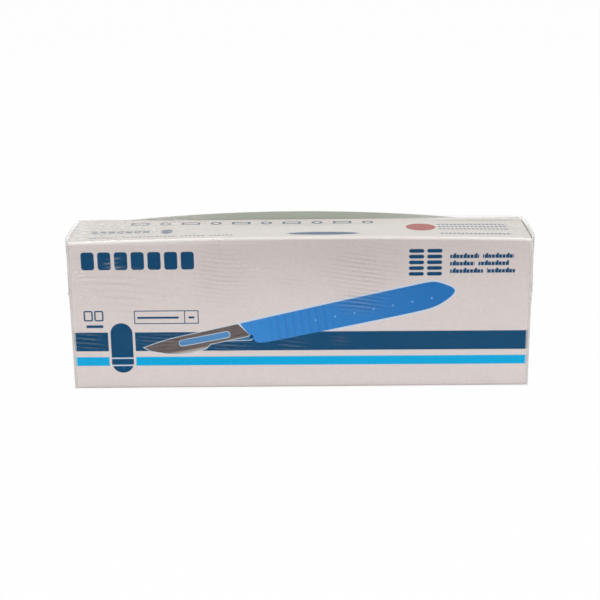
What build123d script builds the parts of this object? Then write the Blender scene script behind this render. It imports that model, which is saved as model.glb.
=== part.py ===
from build123d import *

import os
from math import cos, radians, sin

# A sealed folding carton in shrink film, lying on its long narrow side.
# Millimetres. X runs along the length, -Y is the printed front, Z is up from the film's underside.

# Folding carton
carton_length = 189.0  # front panel, from corner crease to corner crease
carton_depth = 35.0  # front panel to back panel
carton_height = 64.0  # base panel to the corners of the lid
board_thickness = 0.5
crease_radius = 1.0  # outside of a folded crease
lid_crown = 1.5  # how far the lid's front crease has sprung up at mid-length
closure_bulge = 1.2  # how far an end closure bows out along its top
fold_share = 0.9  # outside radius of an end closure's folds, as a share of the board's thickness
slit_width = 0.4  # open line between the lid and the panels that it meets
slit_depth = 1.2
lip_length = 142.0  # stretch of the back panel's free edge that stands up behind the lid
lip_height = 3.4
lip_middle = -3.0  # place of the lip's middle along X

# Shrink film
film_thickness = 0.1
film_slack = 0.1  # between the film and the board where it is pulled tight
end_slack = 0.5  # the same over the end closures, where it has shrunk less
tent_run = 8.0  # how far in front of the lip the film leaves the lid
weld_level = 40.0  # height of the welded line above the base panel
weld_width = 1.2
weld_height = 0.4

# Gathers of the film beside each end of a weld
gather_pleats = 7
gather_spread = 150.0  # degrees, from the first pleat of a fan to the last
gather_inset = 2.5  # from the carton's vertical crease to the middle of the fan
pleat_length = 11.0
pleat_width = 1.3
pleat_height = 0.5

# Creases that the weld pulls into the front face at its left end
crease_count = 4
crease_above_weld = 3.0  # from the weld up to the lowest crease
crease_below_lid = 9.0  # from the lid down to the highest crease
crease_length = 13.0
crease_width = 0.9
crease_height = 0.15

# Where a pleat or crease of the film has run out
spent_share = 0.2  # of its full width
spent_depth = 0.25  # of its tip under the film's face

# What sinks one form into another, so that they join into one solid
overlap = 1.0


def bowed_wall(half_length, low, high, rise, y, middle=0.0):
    """Outline of an upright wall at y, whose top edge bows up by rise between its two corners."""
    left, right = middle - half_length, middle + half_length
    sides = Polyline((left, y, high), (left, y, low), (right, y, low), (right, y, high))
    bow = Bezier((right, y, high), (middle, y, high + 2 * rise), (left, y, high))
    return Wire([*sides.edges(), *bow.edges()])


def end_outline(inner, outer, half_width, bow, z):
    """Outline at height z of a form at the right end, whose outer side bows out by bow."""
    sides = Polyline((outer, half_width, z), (inner, half_width, z),
                     (inner, -half_width, z), (outer, -half_width, z))
    front = Bezier((outer, -half_width, z), (outer + 2 * bow, 0, z), (outer, half_width, z))
    return Wire([*sides.edges(), *front.edges()])


def both_ends(form):
    """The form at the right end and its mirror image at the left end."""
    return [form, form.mirror(Plane.YZ)]


def crowned_block(half_length, grow, round_ends=False):
    """Front, back, base and lid as one block, grown outwards by grow.

    The lid is a ruled surface from its bowed front crease to its straight rear edge. The creases
    are round, and the lid's rear edge is sharp, because the board is cut there. So are both end
    edges of lid and base, unless round_ends asks for the film's turn over them.
    """
    half_depth = carton_depth / 2 + grow
    top = carton_height + grow
    front = bowed_wall(half_length, -grow, top, lid_crown, -half_depth)
    back = bowed_wall(half_length, -grow, top, 0, half_depth)
    block = Solid.make_loft([front, back], ruled=True)

    def is_round(edge):
        size, middle = edge.bounding_box().size, edge.center()
        if size.X > half_length:
            return middle.Y < 0 or middle.Z < top / 2
        return round_ends or size.Z > top / 2

    return block.fillet(crease_radius + grow, block.edges().filter_by(is_round))


def end_closure():
    """Tucked end panel at the right end, hinged at the base and bowed out along its top."""
    inner = carton_length / 2 - overlap
    outer = carton_length / 2 + board_thickness
    half_width = carton_depth / 2 - crease_radius
    foot = end_outline(inner, outer, half_width, 0, 0)
    head = end_outline(inner, outer, half_width, closure_bulge, carton_height - board_thickness)
    panel = Solid.make_loft([foot, head], ruled=True)

    def is_fold(edge):
        return edge.center().X > outer - board_thickness / 2 and edge.bounding_box().size.Y > half_width

    return panel.fillet(board_thickness * fold_share, panel.edges().filter_by(is_fold))


def standing_lip():
    """Free edge of the back panel, standing up behind the lid in a long low arch."""
    outline = bowed_wall(lip_length / 2, carton_height - slit_depth, carton_height, lip_height,
                         carton_depth / 2, lip_middle)
    return extrude(Face(outline), board_thickness, (0, -1, 0))


def lid_slits():
    """Open lines along the lid's rear edge and both its ends."""
    floor = carton_height - slit_depth
    reach = slit_depth + lid_crown + lip_height
    along = carton_length + 2 * slit_width
    across = carton_depth - 2 * crease_radius
    back_line = Box(along, slit_width, reach, align=(Align.CENTER, Align.MAX, Align.MIN))
    back_line = back_line.moved(Location((0, carton_depth / 2 - board_thickness, floor)))
    end_line = Box(slit_width, across, reach, align=(Align.MIN, Align.CENTER, Align.MIN))
    end_line = end_line.moved(Location((carton_length / 2, 0, floor)))
    return [back_line, *both_ends(end_line)]


def carton():
    """The closed carton as one solid."""
    body = crowned_block(carton_length / 2, 0)
    for closure in both_ends(end_closure()):
        body += closure
    for slit in lid_slits():
        body -= slit
    return body + standing_lip()


def film_end(half_length, grow):
    """Film bulging over an end closure, at the right end."""
    half_width = carton_depth / 2 - crease_radius - overlap + grow
    low = crease_radius + overlap
    top = carton_height - board_thickness + film_slack + grow
    foot = end_outline(half_length - overlap, half_length, half_width, 0, low)
    head = end_outline(half_length - overlap, half_length, half_width, closure_bulge, top)
    return Solid.make_loft([foot, head], ruled=True)


def film_tent(grow):
    """Film rising from the lid to the standing lip, over it and down the back."""
    half_length = lip_length / 2 + grow
    low, top = carton_height - overlap, carton_height + grow
    ridge_back = carton_depth / 2 + grow
    ridge_front = carton_depth / 2 - board_thickness - grow
    toe = bowed_wall(half_length, low, top, 0, ridge_front - tent_run, lip_middle)
    front = bowed_wall(half_length, low, top, lip_height, ridge_front, lip_middle)
    back = bowed_wall(half_length, low, top, lip_height, ridge_back, lip_middle)
    return Solid.make_loft([toe, front, back], ruled=True)


def wrapped_form(grow):
    """What one face of the film encloses, grow outside the board."""
    half_length = carton_length / 2 + board_thickness + end_slack + grow
    form = crowned_block(half_length, grow, round_ends=True)
    for bulge in both_ends(film_end(half_length, grow)):
        form += bulge
    return form + film_tent(grow)


def ridge(start, finish, outward, width, height):
    """Fold of the film, a triangle in section, that is full at start and has run out at finish."""
    along = (finish - start).normalized()
    across = along.cross(outward) * (width / 2)
    full = Wire.make_polygon([start - across - outward * overlap, start + across - outward * overlap,
                              start + outward * height])
    spent_across = across * spent_share
    spent = Wire.make_polygon([finish - spent_across - outward * overlap,
                               finish + spent_across - outward * overlap,
                               finish - outward * spent_depth])
    return Solid.make_loft([full, spent], ruled=True)


def gather(side):
    """Fan of pleats on the right end face, beside the front (side -1) or back (side 1) crease."""
    end = carton_length / 2 + board_thickness + end_slack + film_slack + film_thickness
    middle = Vector(end, side * (carton_depth / 2 - gather_inset), weld_level)
    pleats = []
    for number in range(gather_pleats):
        turn = radians(gather_spread * (number / (gather_pleats - 1) - 0.5))
        inward = Vector(0, -side * cos(turn), sin(turn))
        pleats.append(ridge(middle + inward * pleat_width, middle + inward * pleat_length,
                            Vector(1, 0, 0), pleat_width, pleat_height))
    return pleats


def front_creases():
    """Fine level creases on the front face, from its left edge inwards."""
    face = -carton_depth / 2 - film_slack - film_thickness
    left = -carton_length / 2 + crease_radius
    lowest = weld_level + crease_above_weld
    spacing = (carton_height - crease_below_lid - lowest) / (crease_count - 1)
    creases = []
    for number in range(crease_count):
        level = lowest + number * spacing
        creases.append(ridge(Vector(left, face, level), Vector(left + crease_length, face, level),
                             Vector(0, -1, 0), crease_width, crease_height))
    return creases


def weld(outer_grow):
    """Flat welded line round both ends and the back."""
    band = wrapped_form(outer_grow + weld_height)
    slab = Box(carton_length * 2, carton_depth * 2, weld_width, align=(Align.CENTER, Align.MIN, Align.CENTER))
    return band & slab.moved(Location((0, -carton_depth / 2 + crease_radius, weld_level)))


def shrink_film():
    """The film as one closed skin."""
    outer_grow = film_slack + film_thickness
    skin = wrapped_form(outer_grow) + weld(outer_grow)
    for side in (-1, 1):
        for pleat in gather(side):
            for fold in both_ends(pleat):
                skin += fold
    for crease in front_creases():
        skin += crease
    return skin - wrapped_form(film_slack)


base_level = Location((0, 0, film_slack + film_thickness))
os.makedirs("parts", exist_ok=True)
export_step(carton().moved(base_level), "parts/carton.step")
export_step(shrink_film().moved(base_level), "parts/shrink_film.step")
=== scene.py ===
"""Looks of a sealed folding carton in clear shrink film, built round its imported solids.

Sizes are millimetres, and meshes are written in metres. X runs along the carton, -Y is its printed
front and Z is up.
"""

import logging
from dataclasses import dataclass, field, replace
from functools import reduce
from math import pi, radians

import bpy
import numpy as np
from mathutils import Matrix, Vector


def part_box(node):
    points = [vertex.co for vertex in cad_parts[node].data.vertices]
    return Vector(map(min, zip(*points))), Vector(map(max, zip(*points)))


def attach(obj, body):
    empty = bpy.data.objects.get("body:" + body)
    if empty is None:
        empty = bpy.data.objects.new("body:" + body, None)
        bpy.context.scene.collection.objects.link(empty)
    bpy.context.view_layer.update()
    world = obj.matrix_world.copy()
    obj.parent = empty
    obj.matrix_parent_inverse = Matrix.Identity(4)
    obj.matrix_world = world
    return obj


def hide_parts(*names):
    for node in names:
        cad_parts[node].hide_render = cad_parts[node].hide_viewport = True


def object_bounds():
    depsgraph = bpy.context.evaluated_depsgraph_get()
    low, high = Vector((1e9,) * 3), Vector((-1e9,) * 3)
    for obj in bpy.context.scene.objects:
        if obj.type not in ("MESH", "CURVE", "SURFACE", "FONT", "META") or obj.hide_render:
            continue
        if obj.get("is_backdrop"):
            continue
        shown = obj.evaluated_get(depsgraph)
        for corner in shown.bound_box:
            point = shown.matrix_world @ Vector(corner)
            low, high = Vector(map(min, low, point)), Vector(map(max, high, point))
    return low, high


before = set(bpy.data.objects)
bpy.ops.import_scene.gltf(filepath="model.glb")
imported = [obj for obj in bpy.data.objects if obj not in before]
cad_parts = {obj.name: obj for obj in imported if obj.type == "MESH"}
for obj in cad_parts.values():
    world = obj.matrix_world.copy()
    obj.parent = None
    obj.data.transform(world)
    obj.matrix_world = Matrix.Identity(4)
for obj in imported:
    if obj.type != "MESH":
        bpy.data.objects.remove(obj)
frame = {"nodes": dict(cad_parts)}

METRES = 0.001  # in a millimetre
WAVE_PEAK = 1.6  # about the peak of a sum of sine waves over the square root of their number
Socket = bpy.types.NodeSocket
Tree = bpy.types.NodeTree
Field = np.ndarray
Place = tuple[float, float]
Box = tuple[Place, Place]  # a centre, and half the width and height round it
Relief = tuple[Field, Field, Field]  # height in millimetres, haze and shade
log = logging.getLogger("carton")


def linear(colour: str) -> tuple[float, float, float, float]:
    """Turns an sRGB colour to linear light.

    Args:
        colour: "#rrggbb".

    Returns:
        Red, green, blue and an alpha of 1.
    """
    parts = np.array([int(colour[at:at + 2], 16) for at in (1, 3, 5)]) / 255
    light = np.where(parts <= 0.04045, parts / 12.92, ((parts + 0.055) / 1.055) ** 2.4)
    return (*light.tolist(), 1.0)


def add_node(tree: Tree, kind: str, values: dict | tuple = (), **settings: object) -> bpy.types.Node:
    """Adds a node with its settings, values and links.

    Args:
        tree: where the node goes.
        kind: the node's type, without its ShaderNode prefix.
        values: what goes into its inputs, in order or by name or number: a socket is linked, and
            a number or colour is set.
        settings: the node's own properties.

    Returns:
        The new node.
    """
    node = tree.nodes.new(kind if kind.startswith("NodeGroup") else "ShaderNode" + kind)
    for name, value in settings.items():
        setattr(node, name, value)
    for key, value in values.items() if isinstance(values, dict) else enumerate(values):
        if isinstance(value, Socket):
            tree.links.new(value, node.inputs[key])
        else:
            node.inputs[key].default_value = value
    return node


def chain(tree: Tree, kind: str, start: Socket, *steps: tuple) -> Socket:
    """Adds nodes of one kind in a row, each of which takes the last one's result.

    Args:
        tree: where the nodes go.
        kind: the nodes' type, as in add_node.
        start: the first input of the first node.
        steps: each node's operation, and what goes into its other inputs.

    Returns:
        The last node's first output.
    """
    for operation, *others in steps:
        start = add_node(tree, kind, (start, *others), operation=operation).outputs[0]
    return start


def new_material(name: str) -> tuple[bpy.types.Material, Tree]:
    """Makes an empty material.

    Args:
        name: what the real surface is.

    Returns:
        The material and its node tree.
    """
    material = bpy.data.materials.new(name)
    material.use_nodes = True
    material.node_tree.nodes.clear()
    return material, material.node_tree


def object_millimetres(tree: Tree) -> Socket:
    """Gives the place on the piece in millimetres, as a vector socket."""
    place = add_node(tree, "TexCoord").outputs["Object"]
    return add_node(tree, "VectorMath", {0: place, "Scale": 1 / METRES}, operation="SCALE").outputs[0]


def seen_directly(tree: Tree) -> Socket:
    """Tells the camera's rays, also once they are mirrored or let through, from those of the light.

    Args:
        tree: where the nodes go.

    Returns:
        1 on those rays and 0 on others.
    """
    rays = add_node(tree, "LightPath").outputs
    kinds = (rays[kind + " Ray"] for kind in ("Is Camera", "Is Glossy", "Is Transmission"))
    return reduce(lambda a, b: chain(tree, "Math", a, ("MAXIMUM", b)), kinds)


def rounded_rectangle_group() -> Tree:
    """Makes the node group that measures the distance to a rounded rectangle, negative inside it.

    With q = |point - centre| - half + corner, the distance is the length of q's positive part,
    plus the largest of q's sides where that is negative, less corner. The third side never counts,
    because the rectangle is taken as very deep.

    Returns:
        The group, with inputs Point, Centre, Half and Corner and the output Distance.
    """
    group = bpy.data.node_groups.new("rounded_rectangle", "ShaderNodeTree")
    for name in ("Point", "Centre", "Half"):
        group.interface.new_socket(name, in_out="INPUT", socket_type="NodeSocketVector")
    group.interface.new_socket("Corner", in_out="INPUT", socket_type="NodeSocketFloat")
    group.interface.new_socket("Distance", in_out="OUTPUT", socket_type="NodeSocketFloat")
    point, centre, half, rounding = add_node(group, "NodeGroupInput").outputs[:4]
    corner = add_node(group, "CombineXYZ", (rounding, rounding)).outputs[0]
    past = chain(group, "VectorMath", point, ("SUBTRACT", centre), ("ABSOLUTE",), ("SUBTRACT", half))
    q = chain(group, "VectorMath", past, ("ADD", corner))
    outside = chain(group, "VectorMath", q, ("MAXIMUM", (0, 0, 0)))
    length = add_node(group, "VectorMath", (outside,), operation="LENGTH").outputs["Value"]
    sides = add_node(group, "SeparateXYZ", (q,)).outputs
    largest = reduce(lambda a, b: chain(group, "Math", a, ("MAXIMUM", b)), sides)
    inside = chain(group, "Math", largest, ("MINIMUM", 0.0))
    distance = chain(group, "Math", length, ("ADD", inside), ("SUBTRACT", rounding))
    add_node(group, "NodeGroupOutput", (distance,))
    return group


@dataclass
class Panel:
    """One printed panel, on which flat shapes of ink are drawn by their distance in millimetres.

    Attributes:
        tree: the board's node tree.
        point: the place on the panel, x along the carton and y up or back across the panel.
        box: the rounded rectangle group.
        edge: half the width over which ink gives way to bare board.
        depth: half the depth that every rectangle is given.
    """

    tree: Tree
    point: Socket
    box: Tree
    edge: float = 0.12
    depth: float = 100.0

    def repeated(self, first: Place, pitch: Place, counts: tuple[int, int]) -> "Panel":
        """Folds the panel into a grid of equal cells, so that one shape is drawn in each.

        The point is measured from the middle of the cell that it lies in.

        Args:
            first: the middle of the first cell.
            pitch: from one cell to the next, along x and y.
            counts: how many cells there are along x and y.

        Returns:
            The folded panel.
        """
        to_corner = (pitch[0] / 2 - first[0], pitch[1] / 2 - first[1], 0)
        to_last = (pitch[0] * (counts[0] - 1), pitch[1] * (counts[1] - 1), 0)
        to_middle = (pitch[0] / 2, pitch[1] / 2, 0)
        moved = chain(self.tree, "VectorMath", self.point, ("ADD", to_corner))
        cell = chain(self.tree, "VectorMath", moved, ("SNAP", (*pitch, 1)), ("MAXIMUM", (0, 0, 0)),
                     ("MINIMUM", to_last))
        point = chain(self.tree, "VectorMath", moved, ("SUBTRACT", cell), ("SUBTRACT", to_middle))
        return replace(self, point=point)

    def turned(self, origin: Place, degrees: float) -> "Panel":
        """Measures the panel's point from another origin, along a turned x axis.

        Args:
            origin: the new origin.
            degrees: the x axis's turn, anticlockwise.

        Returns:
            The turned panel.
        """
        values = {"Vector": self.point, "Location": (*origin, 0), "Rotation": (0, 0, radians(degrees))}
        return replace(self, point=add_node(self.tree, "Mapping", values, vector_type="TEXTURE").outputs[0])

    def patch(self, centre: Place, half: Place, corner: float = 0.0) -> Socket:
        """Distance to a rounded rectangle, from its centre and its half width and height."""
        values = (self.point, (*centre, 0), (*half, self.depth), corner)
        return add_node(self.tree, "Group", values, node_tree=self.box).outputs[0]

    def oval(self, centre: Place, half: Place) -> Socket:
        """Distance to an oval: the length of (point - centre) / half, less 1, times the least half.

        Args:
            centre: its middle.
            half: its half width and height.

        Returns:
            The distance, negative inside.
        """
        unit = chain(self.tree, "VectorMath", self.point, ("SUBTRACT", (*centre, 0)), ("DIVIDE", (*half, 1)))
        reach = add_node(self.tree, "VectorMath", (unit,), operation="LENGTH").outputs["Value"]
        return chain(self.tree, "Math", reach, ("MULTIPLY_ADD", min(half), -min(half)))

    def outline(self, corners: tuple[Place, ...], rounding: float) -> Socket:
        """Distance to a convex outline, as the largest distance beyond the line of any of its sides.

        Args:
            corners: the outline's corners, clockwise.
            rounding: the stretch over which two sides run into each other.

        Returns:
            The distance, negative inside.
        """
        beyond = []
        for start, finish in zip(corners, corners[1:] + corners[:1]):
            way = Vector((finish[0] - start[0], finish[1] - start[1])).normalized()
            outward = (-way.y, way.x, 0)
            level = outward[0] * start[0] + outward[1] * start[1]
            along = add_node(self.tree, "VectorMath", (self.point, outward), operation="DOT_PRODUCT")
            beyond.append(chain(self.tree, "Math", along.outputs["Value"], ("SUBTRACT", level)))
        return self.combined("SMOOTH_MAX", beyond, rounding)

    def combined(self, operation: str, distances: list[Socket], rounding: float = 0.0) -> Socket:
        """Joins distances two by two: MINIMUM gives all the shapes, MAXIMUM what they have in common."""
        return reduce(lambda a, b: chain(self.tree, "Math", a, (operation, b, rounding)), distances)

    def shifted(self, distance: Socket, by: float) -> Socket:
        """Moves a shape's edge outwards by so many millimetres."""
        return chain(self.tree, "Math", distance, ("SUBTRACT", by))

    def ring(self, distance: Socket, width: float) -> Socket:
        """Distance to a line of that width along a shape's edge."""
        return chain(self.tree, "Math", distance, ("ABSOLUTE",), ("SUBTRACT", width / 2))

    def pips(self, pitch: float, share: float) -> Socket:
        """Distance to upright strips, one every pitch along x, that take up a share of it."""
        along = add_node(self.tree, "SeparateXYZ", (self.point,)).outputs[0]
        return chain(self.tree, "Math", along, ("PINGPONG", pitch / 2), ("ADD", -pitch / 2 * (1 - share)),
                     ("MULTIPLY", -1.0))

    def laid(self, under: Socket, ink: str | Socket, distance: Socket, share: float = 1.0) -> Socket:
        """Lays ink over what is under it, inside a shape.

        Args:
            under: the colour so far.
            ink: the ink's colour.
            distance: the shape.
            share: how much of the ink shows.

        Returns:
            The colour with the ink on it.
        """
        cover = add_node(self.tree, "MapRange", (distance, self.edge, -self.edge, 0.0, share)).outputs[0]
        colour = ink if isinstance(ink, Socket) else linear(ink)
        return add_node(self.tree, "Mix", {0: cover, 6: under, 7: colour}, data_type="RGBA").outputs[2]


@dataclass(frozen=True)
class Inks:
    """Offset inks on the coated board: flat, opaque and a little glossier than the board itself."""

    navy: str = "#144a70"
    cyan: str = "#0fa9de"
    steel: str = "#5d5655"
    streak: str = "#766a66"
    bevel: str = "#bdb3ae"
    pale: str = "#ccd8e4"
    light_blue: str = "#3c88cf"
    deep_blue: str = "#2974b9"
    dot_blue: str = "#6fa6dc"
    slot_blue: str = "#538dc0"
    tab_blue: str = "#3f6b90"
    red: str = "#a1463c"


@dataclass
class PictureOfInstrument:
    """The instrument pictured on the front, in plain fields of colour.

    It has its own axes: u from the blade's tip to the handle's end and v across, turned on the panel.
    """

    tip: Place = (-65.3, 18.2)
    turn: float = 10.9  # degrees
    handle: tuple[Place, ...] = ((41.2, 2.6), (70.0, 3.75), (122.6, 4.95), (124.6, 4.5), (130.5, 0.9),
                                 (131.4, -0.3), (131.2, -1.5), (129.6, -3.1), (127.3, -4.4), (124.5, -5.6),
                                 (121.0, -6.5), (117.0, -6.85), (50.0, -7.8), (48.3, -7.7), (46.0, -6.6),
                                 (45.0, -4.9))
    handle_rounding: float = 1.2
    handle_keyline: float = 0.75
    cutting_part: tuple[Place, ...] = ((0.0, 0.0), (5.3, 0.95), (13.3, 1.75), (28.5, 2.1), (27.5, -3.8),
                                       (25.3, -5.4), (21.3, -5.95), (17.2, -6.1), (12.5, -5.4), (8.6, -4.4),
                                       (2.3, -2.0))
    tang: tuple[Place, ...] = ((20.0, 1.9), (40.5, 2.5), (44.3, -3.1), (43.6, -3.5), (25.0, -3.9),
                               (20.0, -3.9))
    blade_rounding: float = 0.2
    blade_keyline: float = 0.28
    keyline_share: float = 0.9  # of the pale ink, in the handle's and the slot's line
    tab: tuple[Place, ...] = ((32.7, -3.4), (44.6, -2.9), (45.7, -4.3), (44.4, -5.4))
    tab_rounding: float = 0.3
    catch: Box = ((44.9, -4.1), (0.8, 0.9))
    slot: Box = ((25.5, -1.15), (10.7, 1.25))
    deepening: Place = (48.0, 122.0)  # stretch of u over which the handle's blue deepens
    rib_pitch: float = 3.3
    rib_ends: Place = (48.0, 84.0)
    rib_fade: float = 0.6  # where the ribs are at their full shade, as a share of their half length
    rib_slant: float = -0.05
    rib_shade: float = 0.13
    dot_first: Place = (72.6, -2.2)
    dot_pitch: float = 8.13
    dot_count: int = 7
    dot_half: Place = (0.42, 0.42)
    streaks: tuple[float, float, float] = (0.1, 1.1, 0.0)  # in a millimetre along u and v
    streak_noise: Place = (0.35, 0.65)  # stretch of the noise that gives no streak, up to a whole one
    streak_share: float = 0.8
    bevel_band: Place = (-4.1, -5.6)  # stretch of v over which the blade turns to its bevel

    def draw(self, panel: Panel, under: Socket, inks: Inks) -> Socket:
        """Draws the instrument.

        Args:
            panel: the front panel.
            under: the colour so far.
            inks: the print's colours.

        Returns:
            The colour with the picture on it.
        """
        own = panel.turned(self.tip, self.turn)
        handle = own.outline(self.handle, self.handle_rounding)
        tab = own.outline(self.tab, self.tab_rounding)
        colour = own.laid(under, inks.pale, own.shifted(tab, self.blade_keyline))
        colour = own.laid(colour, inks.tab_blue, tab)
        parts = [own.outline(part, self.blade_rounding) for part in (self.cutting_part, self.tang)]
        blade = own.combined("MINIMUM", parts)
        colour = own.laid(colour, inks.pale, own.shifted(blade, self.blade_keyline))
        colour = own.laid(colour, self.handle_colour(own, inks), handle)
        colour = own.laid(colour, self.blade_colour(own, inks), blade)
        colour = own.laid(colour, inks.navy, own.oval(*self.catch))
        slot_corner = self.slot[1][1]
        slot = own.patch(*self.slot, slot_corner)
        colour = own.laid(colour, inks.pale, own.shifted(slot, self.blade_keyline), self.keyline_share)
        return own.laid(colour, inks.slot_blue, slot)

    def halo(self, panel: Panel, under: Socket, inks: Inks) -> Socket:
        """Lays the pale line round the handle, which the bands cover.

        Args:
            panel: the front panel.
            under: the colour so far.
            inks: the print's colours.

        Returns:
            The colour with the line on it.
        """
        own = panel.turned(self.tip, self.turn)
        handle = own.outline(self.handle, self.handle_rounding)
        return own.laid(under, inks.pale, own.shifted(handle, self.handle_keyline), self.keyline_share)

    def handle_colour(self, own: Panel, inks: Inks) -> Socket:
        """Makes a blue that deepens towards the handle's end, with darker grip ribs and a row of dots.

        Args:
            own: the panel on the picture's axes.
            inks: the print's colours.

        Returns:
            The handle's colour.
        """
        tree = own.tree
        along, across = add_node(tree, "SeparateXYZ", (own.point,)).outputs[:2]
        deep = add_node(tree, "MapRange", (along, *self.deepening, 0.0, 1.0)).outputs[0]
        values = {0: deep, 6: linear(inks.light_blue), 7: linear(inks.deep_blue)}
        blue = add_node(tree, "Mix", values, data_type="RGBA").outputs[2]
        slanted = chain(tree, "Math", across, ("MULTIPLY_ADD", self.rib_slant, along))
        wave = chain(tree, "Math", slanted, ("MULTIPLY", 2 * pi / self.rib_pitch), ("SINE",))
        middle, half = sum(self.rib_ends) / 2, (self.rib_ends[1] - self.rib_ends[0]) / 2
        aside = chain(tree, "Math", slanted, ("SUBTRACT", middle), ("ABSOLUTE",))
        values = (aside, half, half * self.rib_fade, 0.0, self.rib_shade)
        there = add_node(tree, "MapRange", values).outputs[0]
        darker = chain(tree, "Math", wave, ("MULTIPLY", there), ("MAXIMUM", 0.0))
        values = {0: darker, 6: blue, 7: linear(inks.navy)}
        ribbed = add_node(tree, "Mix", values, data_type="RGBA").outputs[2]
        cells = own.repeated(self.dot_first, (self.dot_pitch, 1), (self.dot_count, 1))
        return own.laid(ribbed, inks.dot_blue, cells.oval((0, 0), self.dot_half))

    def blade_colour(self, own: Panel, inks: Inks) -> Socket:
        """Makes a grey steel with brownish grinding streaks, and its bevel lighter along the belly.

        Args:
            own: the panel on the picture's axes.
            inks: the print's colours.

        Returns:
            The blade's colour.
        """
        tree = own.tree
        stretched = add_node(tree, "Mapping", {"Vector": own.point, "Scale": self.streaks}).outputs[0]
        noise = add_node(tree, "TexNoise", {"Vector": stretched, "Scale": 1.0, "Detail": 2.0}).outputs[0]
        share = add_node(tree, "MapRange", (noise, *self.streak_noise, 0.0, self.streak_share)).outputs[0]
        values = {0: share, 6: linear(inks.steel), 7: linear(inks.streak)}
        steel = add_node(tree, "Mix", values, data_type="RGBA").outputs[2]
        across = add_node(tree, "SeparateXYZ", (own.point,)).outputs[1]
        bevel = add_node(tree, "MapRange", (across, *self.bevel_band, 0.0, 1.0)).outputs[0]
        values = {0: bevel, 6: steel, 7: linear(inks.bevel)}
        return add_node(tree, "Mix", values, data_type="RGBA").outputs[2]


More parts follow.
